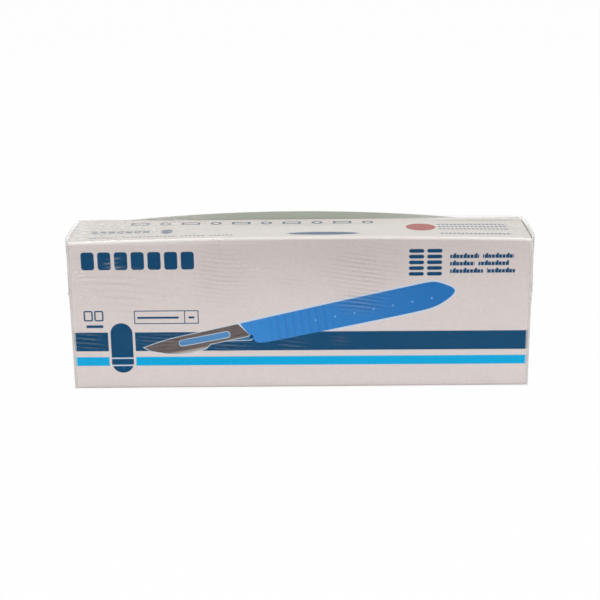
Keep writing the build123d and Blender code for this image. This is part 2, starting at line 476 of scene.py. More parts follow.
@dataclass
class FrontPrint:
    """What is printed on the front panel: two bands, a picture and rows of plain shapes."""

    band_half_length: float = 94.6
    band_slope: float = -0.0024  # the print lies a little askew on the panel
    navy_band: Place = (20.7, 4.15)  # middle and half height
    cyan_band: Place = (12.0, 1.95)
    heading_start: float = -90.4
    heading_pitch: float = 6.83
    heading_blocks: int = 7
    heading_level: float = 56.0
    heading_half: Place = (2.7, 3.8)
    heading_corner: float = 1.2
    pill_first: Place = (47.7, 49.5)
    pill_pitch: Place = (7.4, 2.45)
    pill_counts: tuple[int, int] = (2, 5)
    pill_half: Place = (3.1, 0.8)
    line_levels: tuple[float, ...] = (57.1, 54.0, 50.8)
    words: tuple[tuple[Place, Place], ...] = (((61.4, 73.2), (74.8, 87.4)), ((61.4, 71.4), (73.0, 85.5)),
                                              ((61.5, 75.0), (76.6, 88.1)))
    word_half_height: float = 1.05
    word_rise: float = 0.3
    letters: Place = (1.45, 0.85)  # pitch, and the share of it that is inked
    stems: Place = (4.35, 0.2)
    stem_shift: float = 0.35
    frame: Box = ((-55.6, 31.6), (13.2, 2.75))
    frame_divider: float = -48.0
    frame_bars: tuple[Box, ...] = (((-59.1, 31.4), (8.6, 0.45)), ((-45.2, 31.4), (1.2, 0.45)))
    line_width: float = 0.4
    square_first: Place = (-88.0, 32.3)
    square_pitch: float = 4.4
    square_half: Place = (1.6, 2.0)
    square_corner: float = 0.4
    square_line: float = 0.6
    foot_bar: Box = ((-85.5, 27.7), (3.5, 0.6))
    foot_corner: float = 0.3
    capsule: Box = ((-74.6, 18.1), (4.6, 11.0))
    capsule_keyline: float = 1.0
    capsule_lines: tuple[Place, Place] = ((-74.6, 10.4), (1, 3.2))  # the first, and their pitch
    capsule_line_half: float = 0.28

    def draw(self, panel: Panel, board: Socket, inks: Inks) -> Socket:
        """Draws the front's print.

        Args:
            panel: the front panel, with its y measured up from the board's lower edge.
            board: the bare board's colour.
            inks: the print's colours.

        Returns:
            The panel's colour.
        """
        picture = PictureOfInstrument()
        colour = picture.halo(panel, board, inks)
        askew = panel.turned((0, 0), np.degrees(self.band_slope))
        for (middle, half_height), ink in ((self.navy_band, inks.navy), (self.cyan_band, inks.cyan)):
            band = askew.patch((0, middle), (self.band_half_length, half_height))
            colour = panel.laid(colour, ink, band)
        half_width = self.capsule[1][0]
        capsule = panel.patch(*self.capsule, half_width)
        colour = panel.laid(colour, board, panel.shifted(capsule, self.capsule_keyline))
        for shape in (capsule, self.heading(panel), self.pills(panel), self.text(panel), self.marks(panel)):
            colour = panel.laid(colour, inks.navy, shape)
        cells = panel.repeated(*self.capsule_lines, (1, 2))
        lines = cells.patch((0, 0), (half_width, self.capsule_line_half))
        colour = panel.laid(colour, inks.pale, panel.combined("MAXIMUM", [lines, capsule]))
        return picture.draw(panel, colour, inks)

    def heading(self, panel: Panel) -> Socket:
        """Makes a row of plain blocks along the upper left of the panel.

        Args:
            panel: the front panel.

        Returns:
            The blocks' distance.
        """
        first = (self.heading_start + self.heading_pitch / 2, self.heading_level)
        cells = panel.repeated(first, (self.heading_pitch, 1), (self.heading_blocks, 1))
        return cells.patch((0, 0), self.heading_half, self.heading_corner)

    def pills(self, panel: Panel) -> Socket:
        """Two columns of pills, ten in all, left of the rows of pips."""
        cells = panel.repeated(self.pill_first, self.pill_pitch, self.pill_counts)
        return cells.patch((0, 0), self.pill_half, self.pill_half[1])

    def text(self, panel: Panel) -> Socket:
        """Makes three lines of two words each, as rows of pips of which every third is taller.

        Args:
            panel: the front panel.

        Returns:
            The pips' distance.
        """
        low, tall = [], []
        for level, line in zip(self.line_levels, self.words):
            for left, right in line:
                middle, half = (left + right) / 2, (right - left) / 2
                low_half = (half, self.word_half_height - self.word_rise)
                low.append(panel.patch((middle, level - self.word_rise), low_half))
                tall.append(panel.patch((middle, level), (half, self.word_half_height)))
        letters = panel.combined("MAXIMUM", [panel.combined("MINIMUM", low), panel.pips(*self.letters)])
        shifted = panel.turned((self.stem_shift, 0), 0)
        stems = panel.combined("MAXIMUM", [panel.combined("MINIMUM", tall), shifted.pips(*self.stems)])
        return panel.combined("MINIMUM", [letters, stems])

    def marks(self, panel: Panel) -> Socket:
        """Makes a thin frame in two parts with a bar in each, and two small squares over a bar.

        Args:
            panel: the front panel.

        Returns:
            The marks' distance.
        """
        (_, level), (_, half_height) = self.frame
        outline = panel.ring(panel.patch(*self.frame), self.line_width)
        divider = panel.patch((self.frame_divider, level), (self.line_width / 2, half_height))
        bars = [panel.patch(*bar) for bar in self.frame_bars]
        pair = panel.repeated(self.square_first, (self.square_pitch, 1), (2, 1))
        squares = panel.ring(pair.patch((0, 0), self.square_half, self.square_corner), self.square_line)
        foot = panel.patch(*self.foot_bar, self.foot_corner)
        return panel.combined("MINIMUM", [outline, divider, *bars, squares, foot])


@dataclass
class LidPrint:
    """What is printed on the lid: small plain shapes in rows, an oval and a red disc."""

    symbol_level: float = 9.9
    symbol_pitch: float = 21.5
    symbol_count: int = 5
    symbols: tuple[tuple[float, Place, float], ...] = ((-68.0, (3.4, 1.6), 0.3), (-57.2, (1.9, 1.9), 1.9))
    symbol_line: float = 1.1
    block_first: Place = (-85.6, -3.5)
    block_pitch: float = 3.6
    block_count: int = 7
    block_half: Place = (1.45, 2.0)
    block_corner: float = 0.6
    block_share: float = 0.8  # of the ink, which a crumpled film half hides
    small_share: float = 0.9
    pill: Box = ((-55.4, -3.8), (2.3, 3.6))
    oval: Box = ((9.6, -10.6), (14.6, 2.6))
    disc: Box = ((50.6, 0.3), (6.2, 6.2))
    text_ends: Place = (57.4, 87.2)
    text_levels: tuple[float, ...] = (5.0, 1.2, -2.8, -10.6)
    text_half_height: float = 0.75
    thin_line: tuple[Place, ...] = ((-86.5, -74.7), (-73.1, -50.5), (-49.0, -39.0), (-37.6, -27.8))
    thin_level: float = -11.9
    thin_half_height: float = 0.6
    letters: Place = (1.7, 0.66)  # pitch, and the share of it that is inked

    def draw(self, panel: Panel, board: Socket, inks: Inks) -> Socket:
        """Draws the lid's print.

        Args:
            panel: the lid, with its y running back.
            board: the bare board's colour.
            inks: the print's colours.

        Returns:
            The lid's colour.
        """
        pill_corner = self.pill[1][0]
        colour = panel.laid(board, inks.navy, panel.patch(*self.pill, pill_corner))
        colour = panel.laid(colour, inks.navy, panel.oval(*self.oval))
        for start, half, corner in self.symbols:
            cells = panel.repeated((start, self.symbol_level), (self.symbol_pitch, 1), (self.symbol_count, 1))
            outline = panel.ring(cells.patch((0, 0), half, corner), self.symbol_line)
            colour = panel.laid(colour, inks.navy, outline, self.small_share)
        cells = panel.repeated(self.block_first, (self.block_pitch, 1), (self.block_count, 1))
        blocks = cells.patch((0, 0), self.block_half, self.block_corner)
        colour = panel.laid(colour, inks.navy, blocks, self.block_share)
        colour = panel.laid(colour, inks.navy, self.text(panel), self.small_share)
        return panel.laid(colour, inks.red, panel.oval(*self.disc))

    def text(self, panel: Panel) -> Socket:
        """Makes lines of small print, as rows of pips.

        Args:
            panel: the lid.

        Returns:
            The pips' distance.
        """
        rows = [(self.text_ends, level, self.text_half_height) for level in self.text_levels]
        rows += [(ends, self.thin_level, self.thin_half_height) for ends in self.thin_line]
        lines = [panel.patch(((left + right) / 2, level), ((right - left) / 2, half_height))
                 for (left, right), level, half_height in rows]
        return panel.combined("MAXIMUM", [panel.combined("MINIMUM", lines), panel.pips(*self.letters)])


@dataclass(frozen=True)
class CoatedBoard:
    """Folding boxboard with a white clay coating on its outside and a grey-green reverse.

    The coating gives a soft, even, slightly warm white with a faint fibre mottle. Along a crease it is
    painted paler: partly the real whitening of a folded coating, partly a painted highlight along the fold,
    which on the upright folds also offsets their shade. The reverse shows duller and greener.
    """

    coating: str = "#dbd1ce"
    # painted light: the lid's copy of the coating, cooler and less pink than the front's, stands in for how
    # light falls on the top of one sheet of board
    lid_painted_light_tone: str = "#d6d1cb"
    # paler colour of a fold: partly real crease whitening, partly a painted highlight along the fold
    crease: str = "#f3ece6"
    reverse: str = "#b6bdb1"
    flap_edge: str = "#c4c5bb"
    # painted shadow: the dark of the open line at each end of the lid, and of the lid's edge on the end flap
    gap_shadow: str = "#5c5952"
    roughness: float = 0.5
    gloss: float = 0.04
    fleck: float = 1.2  # millimetres across one fleck of the mottle
    fleck_noise: Place = (0.3, 0.7)
    fleck_shade: Place = (0.97, 1.02)  # share of the coating's colour at the two ends of the noise
    fold_highlight_normal: Place = (0.02, 0.45)  # least part of a normal, where a lid or base crease starts to pale
    # on upright folds the paling is a painted highlight that offsets their shade
    upright_normal: Place = (0.1, 0.6)  # the same on an upright crease
    upright_highlight_share: float = 0.5  # how far it pales, where 1 is the whole colour of a crease
    fibre: float = 0.4  # millimetres across one fibre
    fibre_height: float = 0.02
    fibre_strength: float = 0.12


@dataclass
class Carton:
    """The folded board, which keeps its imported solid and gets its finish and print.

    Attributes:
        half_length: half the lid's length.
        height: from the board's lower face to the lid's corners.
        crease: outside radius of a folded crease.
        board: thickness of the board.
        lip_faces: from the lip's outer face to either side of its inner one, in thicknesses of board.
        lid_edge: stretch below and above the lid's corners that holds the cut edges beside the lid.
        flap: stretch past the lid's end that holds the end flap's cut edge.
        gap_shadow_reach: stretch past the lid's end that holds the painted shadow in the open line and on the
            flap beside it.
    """

    half_length: float = 94.5
    height: float = 64.0
    crease: float = 1.0
    board: float = 0.5
    lip_faces: Place = (1.4, 0.3)
    lid_edge: Place = (1.3, 2.4)
    flap: Place = (0.4, 4.0)
    gap_shadow_reach: Place = (-0.01, 0.7)
    finish: CoatedBoard = CoatedBoard()

    def dress(self, carton: bpy.types.Object) -> None:
        """Puts the printed board on the carton's solid.

        Args:
            carton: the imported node.
        """
        low, high = (Vector(corner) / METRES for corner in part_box("carton"))
        material, tree = new_material("coated_folding_boxboard")
        place = object_millimetres(tree)
        x, y, z = add_node(tree, "SeparateXYZ", (place,)).outputs
        level = chain(tree, "Math", z, ("SUBTRACT", low.z))
        front_point = add_node(tree, "CombineXYZ", (x, level)).outputs[0]
        lid_point = add_node(tree, "CombineXYZ", (x, y)).outputs[0]
        box, inks = rounded_rectangle_group(), Inks()
        mottle = self.mottle(tree, place)
        bare = self.bare_board(tree, mottle, self.finish.coating)
        on_front = FrontPrint().draw(Panel(tree, front_point, box), bare, inks)
        # the lid takes a cooler copy of the coating, a painted tone of the light on the top
        lid_board_painted_tone = self.bare_board(tree, mottle, self.finish.lid_painted_light_tone)
        on_lid = LidPrint().draw(Panel(tree, lid_point, box, edge=0.2), lid_board_painted_tone, inks)
        is_front = chain(tree, "Math", y, ("LESS_THAN", low.y + self.crease))
        is_top = chain(tree, "Math", z, ("GREATER_THAN", low.z + self.height - self.board))
        colour = add_node(tree, "Mix", {0: is_top, 6: bare, 7: on_lid}, data_type="RGBA").outputs[2]
        colour = add_node(tree, "Mix", {0: is_front, 6: colour, 7: on_front}, data_type="RGBA").outputs[2]
        colour = self.creased(tree, colour)
        colour = self.with_lip(tree, colour, (y, z), (low, high))
        colour = self.with_flaps(tree, colour, (x, y, z), low)
        values = {"Base Color": colour, "Roughness": self.finish.roughness,
                  "Specular IOR Level": self.finish.gloss, "Normal": self.fibres(tree, place)}
        surface = add_node(tree, "BsdfPrincipled", values).outputs[0]
        add_node(tree, "OutputMaterial", (surface,))
        for slot in carton.material_slots:
            slot.material = material

    def mottle(self, tree: Tree, place: Socket) -> Socket:
        """Makes the faint unevenness of the coating, about 1.

        Args:
            tree: the board's node tree.
            place: where on the board, in millimetres.

        Returns:
            What the coating's colour is multiplied by.
        """
        values = {"Vector": place, "Scale": 1 / self.finish.fleck, "Detail": 3.0}
        noise = add_node(tree, "TexNoise", values).outputs[0]
        values = (noise, *self.finish.fleck_noise, *self.finish.fleck_shade)
        return add_node(tree, "MapRange", values).outputs[0]

    def bare_board(self, tree: Tree, mottle: Socket, coating: str) -> Socket:
        """Coating colour with its mottle."""
        values = {0: linear(coating)[:3], "Scale": mottle}
        return add_node(tree, "VectorMath", values, operation="SCALE").outputs[0]

    def creased(self, tree: Tree, colour: Socket) -> Socket:
        """Paints paler colour along a crease: partly real crease whitening, partly a painted highlight, and
        on upright creases it offsets their shade. A crease is told by a normal with both panels' directions.

        Args:
            tree: the board's node tree.
            colour: the colour so far.

        Returns:
            The colour with its paler creases, partly painted highlight.
        """
        normal = add_node(tree, "NewGeometry").outputs["Normal"]
        sides = add_node(tree, "SeparateXYZ", (normal,)).outputs
        forward = chain(tree, "Math", sides[1], ("ABSOLUTE",))
        both = chain(tree, "Math", forward, ("MINIMUM", sides[2]))
        beside = chain(tree, "Math", sides[0], ("ABSOLUTE",), ("MINIMUM", forward))
        # painted highlight along the lid's folds, partly real crease whitening; the upright folds get a
        # milder one against their shade
        fold_highlight = add_node(tree, "MapRange", (both, *self.finish.fold_highlight_normal, 0.0, 1.0)).outputs[0]
        values = (beside, *self.finish.upright_normal, 0.0, self.finish.upright_highlight_share)
        faint = add_node(tree, "MapRange", values).outputs[0]
        share = chain(tree, "Math", fold_highlight, ("MAXIMUM", faint))
        values = {0: share, 6: colour, 7: linear(self.finish.crease)}
        return add_node(tree, "Mix", values, data_type="RGBA").outputs[2]

    def within(self, tree: Tree, value: Socket, low: float, high: float) -> Socket:
        """1 where value lies between low and high, and 0 elsewhere."""
        return chain(tree, "Math", value, ("COMPARE", (low + high) / 2, (high - low) / 2))

    def with_lip(self, tree: Tree, colour: Socket, yz: tuple[Socket, Socket],
                 corners: tuple[Vector, Vector]) -> Socket:
        """Shows the unprinted reverse on the inner side of the back panel's standing edge.

        Args:
            tree: the board's node tree.
            colour: the colour so far.
            yz: place across and up.
            corners: the carton's lowest and highest corner.

        Returns:
            The colour with the reverse on it.
        """
        low, high = corners
        start, finish = (high.y - self.board * share for share in self.lip_faces)
        inner = self.within(tree, yz[0], start, finish)
        above = self.within(tree, yz[1], low.z + self.height, high.z)
        there = chain(tree, "Math", inner, ("MULTIPLY", above))
        values = {0: there, 6: colour, 7: linear(self.finish.reverse)}
        return add_node(tree, "Mix", values, data_type="RGBA").outputs[2]

    def with_flaps(self, tree: Tree, colour: Socket, xyz: tuple[Socket, ...], low: Vector) -> Socket:
        """Paints the shadow in the open line at each end of the lid and just past it, and shows the end
        flap's cut grey edge beyond it.

        Args:
            tree: the board's node tree.
            colour: the colour so far.
            xyz: place along, across and up.
            low: the carton's lowest corner.

        Returns:
            The colour with the edges on it.
        """
        x, y, z = xyz
        top = low.z + self.height
        aside = chain(tree, "Math", x, ("ABSOLUTE",))
        near_top = self.within(tree, z, top - self.lid_edge[0], top + self.lid_edge[1])
        between = self.within(tree, y, low.y + self.crease, -low.y - self.crease)
        there = chain(tree, "Math", near_top, ("MULTIPLY", between))
        # the flap's own grey edge, then the painted shadow of the open line
        shades = ((self.flap, self.finish.flap_edge), (self.gap_shadow_reach, self.finish.gap_shadow))
        for (start, finish), shade in shades:
            here = self.within(tree, aside, self.half_length + start, self.half_length + finish)
            share = chain(tree, "Math", here, ("MULTIPLY", there))
            values = {0: share, 6: colour, 7: linear(shade)}
            colour = add_node(tree, "Mix", values, data_type="RGBA").outputs[2]
        return colour

    def fibres(self, tree: Tree, place: Socket) -> Socket:
        """Makes the normal of the coated fibres, a few microns high.

        Args:
            tree: the board's node tree.
            place: where on the board, in millimetres.

        Returns:
            The normal.
        """
        values = {"Vector": place, "Scale": 1 / self.finish.fibre, "Detail": 4.0}
        noise = add_node(tree, "TexNoise", values).outputs[0]
        values = {"Strength": self.finish.fibre_strength, "Distance": self.finish.fibre_height * METRES,
                  "Height": noise}
        return add_node(tree, "Bump", values).outputs[0]


@dataclass(frozen=True)
class ShrunkFilm:
    """Polyolefin film, blown, wrapped, welded and shrunk with heat.

    It is clear and mirrors only at a grazing look, because the board that it lies on takes away its inner
    reflection. Where it is creased or gathered it scatters white and glints, and the flanks of a wrinkle bend
    light away and so look darker. Its haze also carries painted highlights, and its shade carries painted
    shade.

    Attributes:
        haze: colour that a crease scatters, and that the painted highlights take.
        face_on: share of light that smooth film mirrors, seen face on.
        grazing: the same, seen edge on.
        grazing_power: how late the mirroring rises between the two.
        crease_gloss: share that a full crease mirrors as well.
        roughness: of the mirroring.
        crease_haze: share of a full crease that scatters.
        flank_loss: share of light that a full flank keeps back, and so does full painted shade.
        edge_loss: the same, seen edge on.
        edge_power: how late that rises.
    """

    haze: str = "#fbf7f3"
    face_on: float = 0.003
    grazing: float = 0.45
    grazing_power: float = 5.0
    crease_gloss: float = 0.09
    roughness: float = 0.1
    crease_haze: float = 0.6
    flank_loss: float = 0.5
    edge_loss: float = 0.5
    edge_power: float = 12.0

    def material(self) -> bpy.types.Material:
        """Makes the film's material, which reads the skin's haze and shade attributes.

        Returns:
            The material.
        """
        material, tree = new_material("clear_shrink_film")
        creases = add_node(tree, "Attribute", attribute_name="haze").outputs["Fac"]
        flanks = add_node(tree, "Attribute", attribute_name="shade").outputs["Fac"]
        facing = add_node(tree, "LayerWeight", (0.5,)).outputs["Facing"]
        slope = chain(tree, "Math", facing, ("POWER", self.grazing_power))
        smooth = add_node(tree, "MapRange", (slope, 0.0, 1.0, self.face_on, self.grazing)).outputs[0]
        mirror = chain(tree, "Math", creases, ("MULTIPLY_ADD", self.crease_gloss, smooth))
        flat = add_node(tree, "MapRange", (flanks, 0.0, 1.0, 1.0, 1 - self.flank_loss)).outputs[0]
        edge = chain(tree, "Math", facing, ("POWER", self.edge_power))
        edge_on = add_node(tree, "MapRange", (edge, 0.0, 1.0, 1.0, 1 - self.edge_loss)).outputs[0]
        passed = chain(tree, "Math", flat, ("MULTIPLY", edge_on))
        tint = add_node(tree, "CombineColor", (passed, passed, passed)).outputs[0]
        clear = add_node(tree, "BsdfTransparent", (tint,)).outputs[0]
        gloss = add_node(tree, "BsdfGlossy", {"Roughness": self.roughness}).outputs[0]
        values = {0: linear(self.haze)[:3], "Scale": passed}
        dull = add_node(tree, "VectorMath", values, operation="SCALE").outputs[0]
        white = add_node(tree, "BsdfDiffuse", (dull,)).outputs[0]
        share = add_node(tree, "MapRange", (creases, 0.0, 1.0, 0.0, self.crease_haze)).outputs[0]
        body = add_node(tree, "MixShader", (share, clear, white)).outputs[0]
        surface = add_node(tree, "MixShader", (mirror, body, gloss)).outputs[0]
        add_node(tree, "OutputMaterial", (surface,))
        return material


@dataclass(frozen=True)
class Rise:
    """A smooth rise by amount, as a coordinate goes from start to finish."""

    amount: float
    start: float
    finish: float

    def at(self, value: Field) -> Field:
        """Amount times 3 t^2 - 2 t^3, where t is the share of the way from start to finish."""
        share = np.clip((value - self.start) / (self.finish - self.start), 0, 1)
        return self.amount * (share * share * (3 - 2 * share))


@dataclass(frozen=True)
class Spot:
    """A soft spot, with its amount at its centre, that fades over its half width and height."""

    amount: float
    centre: Place
    half: Place

    def at(self, u: Field, v: Field) -> Field:
        """Amount times exp(-(du / half u)^2 - (dv / half v)^2)."""
        across, up = (u - self.centre[0]) / self.half[0], (v - self.centre[1]) / self.half[1]
        return self.amount * np.exp(-across ** 2 - up ** 2)


@dataclass(frozen=True)
class Wrinkles:
    """Long irregular wrinkles, as a mean of sine waves.

    Attributes:
        spacing: millimetres from one wrinkle to the next.
        slant: rise of v for each millimetre of u.
        stretch: length over which a wrinkle wanders.
        seed: picks the waves.
        waves: how many.
        spread: how far wavelengths and slants differ, as a share.
        wander_length: least and most length of a wander, as a share of stretch.
        wander_width: least and most width of a wander, as a share of spread times spacing.
    """

    spacing: float
    slant: float
    stretch: float
    seed: int
    waves: int = 8
    spread: float = 0.4
    wander_length: Place = (0.6, 1.6)
    wander_width: Place = (0.5, 1.5)

    def at(self, u: Field, v: Field) -> Field:
        """Adds up the waves.

        Each is sin(2 pi (v + slant u + wander) / wavelength + phase), with wavelengths about
        spacing and slants about slant. Wander is a slow sine of u, with a period about stretch.

        Args:
            u: place along the wrinkles, in millimetres.
            v: place across them.

        Returns:
            Heights from -1 to 1.
        """
        draw = np.random.default_rng(self.seed)
        about_one = (1 - self.spread, 1 + self.spread)
        height = np.zeros(np.broadcast(u, v).shape)
        for _ in range(self.waves):
            wavelength = self.spacing * draw.uniform(*about_one)
            period = self.stretch * draw.uniform(*self.wander_length)
            width = self.spread * self.spacing * draw.uniform(*self.wander_width)
            wander = width * np.sin(2 * pi * (u / period + draw.random()))
            level = v + self.slant * draw.uniform(*about_one) * u + wander
            height += np.sin(2 * pi * (level / wavelength + draw.random()))
        return height / self.waves ** 0.5 / WAVE_PEAK


@dataclass(frozen=True)
class RipplePatch:
    """A patch of fine parallel ripples on the front, each of which comes and goes along its length.

    Attributes:
        spot: where the patch is, and how strong.
        spacing: millimetres from one ripple to the next.
        slant: rise of a ripple for each millimetre along the front.
        wander: length over which a ripple wanders.
        spread: how far it wanders, as a share of the spacing.
        first_seed: what a patch's place is added to, to pick its waves.
        evenness: strength of a ripple on the average.
        gap_depth: how far that varies.
        least: strength of a ripple at its faintest.
        gap_spacing: millimetres from one faint stretch to the next.
        gap_slant: lean of the line that the faint stretches of neighbouring ripples make.
        gap_wander: length over which that line wanders.
        gap_waves: how many waves that line is made of.
    """

    spot: Spot
    spacing: float
    slant: float
    wander: float = 40.0
    spread: float = 0.2
    first_seed: int = 100
    evenness: float = 0.8
    gap_depth: float = 0.5
    least: float = 0.2
    gap_spacing: float = 30.0
    gap_slant: float = 3.0
    gap_wander: float = 12.0
    gap_waves: int = 4

    def at(self, x: Field, z: Field) -> tuple[Field, Field]:
        """Works out the patch.

        Args:
            x: place along the front.
            z: place up the front.

        Returns:
            The ripples' height, from -1 to 1, and their strength.
        """
        seed = round(self.spot.centre[0]) + self.first_seed
        wave = Wrinkles(self.spacing, self.slant, self.wander, seed, 1, self.spread)
        gaps = Wrinkles(self.gap_spacing, self.gap_slant, self.gap_wander, seed, self.gap_waves)
        unbroken = np.clip(self.evenness + self.gap_depth * gaps.at(z, x), self.least, 1)
        return WAVE_PEAK * wave.at(x, z), self.spot.at(x, z) * unbroken


@dataclass(frozen=True)
class WhiteCrease:
    """A short white crease on the front: its middle, half length, slant and strength."""

    middle: Place
    half_length: float
    slant: float
    strength: float
    half_width: float = 0.34

    def at(self, x: Field, z: Field) -> Field:
        """Spot as long and wide as the crease, with z sheared by its slant."""
        line = Spot(self.strength, self.middle, (self.half_length, self.half_width))
        return line.at(x, z - self.slant * (x - self.middle[0]))


@dataclass(frozen=True)
class CornerHighlight:
    """Painted highlight: a white arc where the film turns round the front's upper right corner."""

    centre: Place = (91.2, 60.9)
    radius: float = 3.3
    half_width: float = 0.5
    haze: float = 0.85
    along: Rise = Rise(1.0, 91.2, 92.6)
    up: Rise = Rise(1.0, 58.0, 61.5)

    def at(self, x: Field, z: Field) -> Field:
        """Haze times exp(-(d / half width)^2), where d is the distance to the arc's line.

        Args:
            x: place along the front.
            z: place up the front.

        Returns:
            The arc's haze, a painted highlight.
        """
        past_x, past_z = np.clip(x - self.centre[0], 0, None), np.clip(z - self.centre[1], 0, None)
        distance = np.hypot(past_x, past_z) - self.radius
        return self.haze * np.exp(-(distance / self.half_width) ** 2) * self.along.at(x) * self.up.at(z)


@dataclass(frozen=True)
class FrontFilm:
    """Film on the front: fine ripples in patches, short white creases, mostly at the left edge, painted shade
    over its upper middle and along its upright edges, and painted highlights along its top left and round its
    upper right corner.
    """

    patches: tuple[RipplePatch, ...] = (
        RipplePatch(Spot(0.85, (25.8, 51.0), (17.0, 11.0)), 2.3, 0.18),
        RipplePatch(Spot(0.85, (-32.7, 50.5), (11.0, 12.0)), 1.95, 0.06),
        RipplePatch(Spot(0.5, (-6.0, 46.5), (7.0, 2.5)), 2.0, 0.05),
        RipplePatch(Spot(1.6, (25.0, 37.0), (9.0, 4.0)), 1.5, 0.14),
        RipplePatch(Spot(1.5, (-56.0, 22.0), (12.0, 3.0)), 1.8, 0.05),
        RipplePatch(Spot(1.3, (-30.0, 19.0), (9.0, 3.0)), 1.8, 0.08),
        RipplePatch(Spot(1.3, (-3.0, 20.0), (5.0, 3.0)), 1.8, 0.1),
        RipplePatch(Spot(1.2, (16.5, 21.0), (3.5, 2.0)), 1.8, 0.1),
        RipplePatch(Spot(1.2, (-88.5, 21.0), (6.0, 6.0)), 2.2, 0.1),
        RipplePatch(Spot(0.4, (-72.0, 44.0), (16.0, 12.0)), 2.6, 0.05),
        RipplePatch(Spot(0.15, (62.0, 30.0), (30.0, 20.0)), 3.0, 0.12))
    creases: tuple[WhiteCrease, ...] = (
        WhiteCrease((-88.3, 48.5), 4.2, 0.0, 0.9), WhiteCrease((-90.2, 50.1), 2.2, 0.3, 0.8),
        WhiteCrease((-91.0, 51.8), 1.8, 0.0, 0.7), WhiteCrease((-87.5, 49.6), 1.2, 0.9, 0.7),
        WhiteCrease((-88.8, 44.0), 1.2, 0.1, 0.8), WhiteCrease((-87.3, 44.2), 1.0, -0.2, 0.8),
        WhiteCrease((-91.0, 41.1), 1.0, 0.2, 0.8), WhiteCrease((-84.0, 41.0), 1.0, 0.0, 0.7),
        WhiteCrease((-87.5, 40.2), 0.9, 0.3, 0.6), WhiteCrease((-77.5, 55.3), 2.4, 0.05, 0.35),
        WhiteCrease((-76.0, 53.6), 2.8, 0.0, 0.35), WhiteCrease((-75.5, 57.4), 2.0, 0.1, 0.25),
        WhiteCrease((-71.0, 48.1), 2.4, 0.1, 0.5), WhiteCrease((-59.0, 40.0), 1.2, 0.2, 0.5),
        WhiteCrease((-56.7, 38.7), 1.2, -0.1, 0.5), WhiteCrease((-23.7, 53.9), 1.6, 0.3, 0.6),
        WhiteCrease((-18.4, 52.4), 1.4, 0.3, 0.6), WhiteCrease((-14.3, 51.6), 1.4, 0.2, 0.5))
    ripple_height: float = 0.05
    ripple_haze: float = 0.12
    ripple_shade: float = 0.5
    crease_height: float = 0.05
    # painted shade: a broad darkening of the front's upper middle, passed on through the film's shade
    upper_painted_shade: Spot = Spot(0.14, (20.0, 62.0), (85.0, 13.0))
    # painted shade: darker film along the front's upright edges
    side_painted_shade: Rise = Rise(0.1, 94.4, 95.2)
    side_haze: Rise = Rise(0.6, 93.9, 94.8)
    # painted highlight: a white band just under the lid's front crease, growing towards the left end
    upper_painted_highlight: Rise = Rise(0.8, 62.6, 63.6)
    upper_highlight_left: Rise = Rise(1.0, 0.0, 60.0)
    # painted highlight round the front's upper right corner
    corner: CornerHighlight = CornerHighlight()
    limits: Place = (-0.12, 0.15)

    def relief(self, x: Field, z: Field) -> Relief:
        """Works out the front.

        Args:
            x: place along the front.
            z: place up the front.

        Returns:
            Height, haze and shade.
        """
        height, haze, shade = np.zeros((3, *x.shape))
        for patch in self.patches:
            ripples, strength = patch.at(x, z)
            height += self.ripple_height * ripples * strength
            haze += self.ripple_haze * np.clip(ripples, 0, 1) * strength
            shade += self.ripple_shade * np.clip(-ripples, 0, 1) ** 3 * strength
        for crease in self.creases:
            line = crease.at(x, z)
            height += self.crease_height * line
            haze += line
        shade += self.upper_painted_shade.at(x, z) + self.side_painted_shade.at(np.abs(x))
        haze += self.side_haze.at(np.abs(x))
        haze += self.upper_painted_highlight.at(z) * self.upper_highlight_left.at(-x)
        haze += self.corner.at(x, z)
        return np.clip(height, *self.limits), haze, shade


@dataclass(frozen=True)
class LidFilm:
    """Film on the lid: crumpled gathers at its left end and right corner, and faint ripples elsewhere."""

    gathers: Wrinkles = Wrinkles(spacing=4.0, slant=0.8, stretch=25.0, seed=11)
    gather_squeeze: float = 0.6  # of x, which makes the gathers longer
    cross_gathers: Wrinkles = Wrinkles(spacing=5.0, slant=0.5, stretch=20.0, seed=12)
    cross_share: float = 0.7
    left: Rise = Rise(1.0, 20.0, 88.0)
    right: Rise = Rise(0.8, 66.0, 92.0)
    elsewhere: float = 0.08
    gather_height: float = 0.16
    gather_haze: float = 0.65
    gather_shade: float = 0.18
    plain_haze: float = 0.04
    left_haze: Rise = Rise(0.36, 20.0, 80.0)
    end_haze: Rise = Rise(0.45, 84.0, 92.0)
    # white film on the tent over the lip at the rear right, partly a painted highlight for the glints there
    rear_haze_and_highlight: Spot = Spot(0.9, (76.0, 12.6), (24.0, 1.7))
    limits: Place = (-0.15, 0.5)

    def relief(self, x: Field, y: Field) -> Relief:
        """Works out the lid.

        Args:
            x: place along the lid.
            y: place back across it.

        Returns:
            Height, haze and shade.
        """
        crumple = self.gathers.at(x * self.gather_squeeze, y) + self.cross_share * self.cross_gathers.at(y, x)
        there = self.left.at(-x) + self.right.at(x) + self.elsewhere
        haze = self.gather_haze * np.clip(crumple, 0, 1) ** 2 * there + self.plain_haze
        haze += self.left_haze.at(-x) + self.end_haze.at(-x) + self.rear_haze_and_highlight.at(x, y)
        shade = self.gather_shade * np.clip(-crumple, 0, 1) ** 2 * there
        return np.clip(self.gather_height * crumple * there, *self.limits), haze, shade


@dataclass(frozen=True)
class Weld:
    """Line along which the film was cut off and welded, a flat band round the ends and the back."""

    level: float = 40.2
    half_width: float = 0.9
    height: float = 0.35
    haze: float = 0.5

    def at(self, z: Field) -> Field:
        """Section of the band: exp(-(dz / half width)^4), flat on top."""
        return np.exp(-((z - self.level) / self.half_width) ** 4)


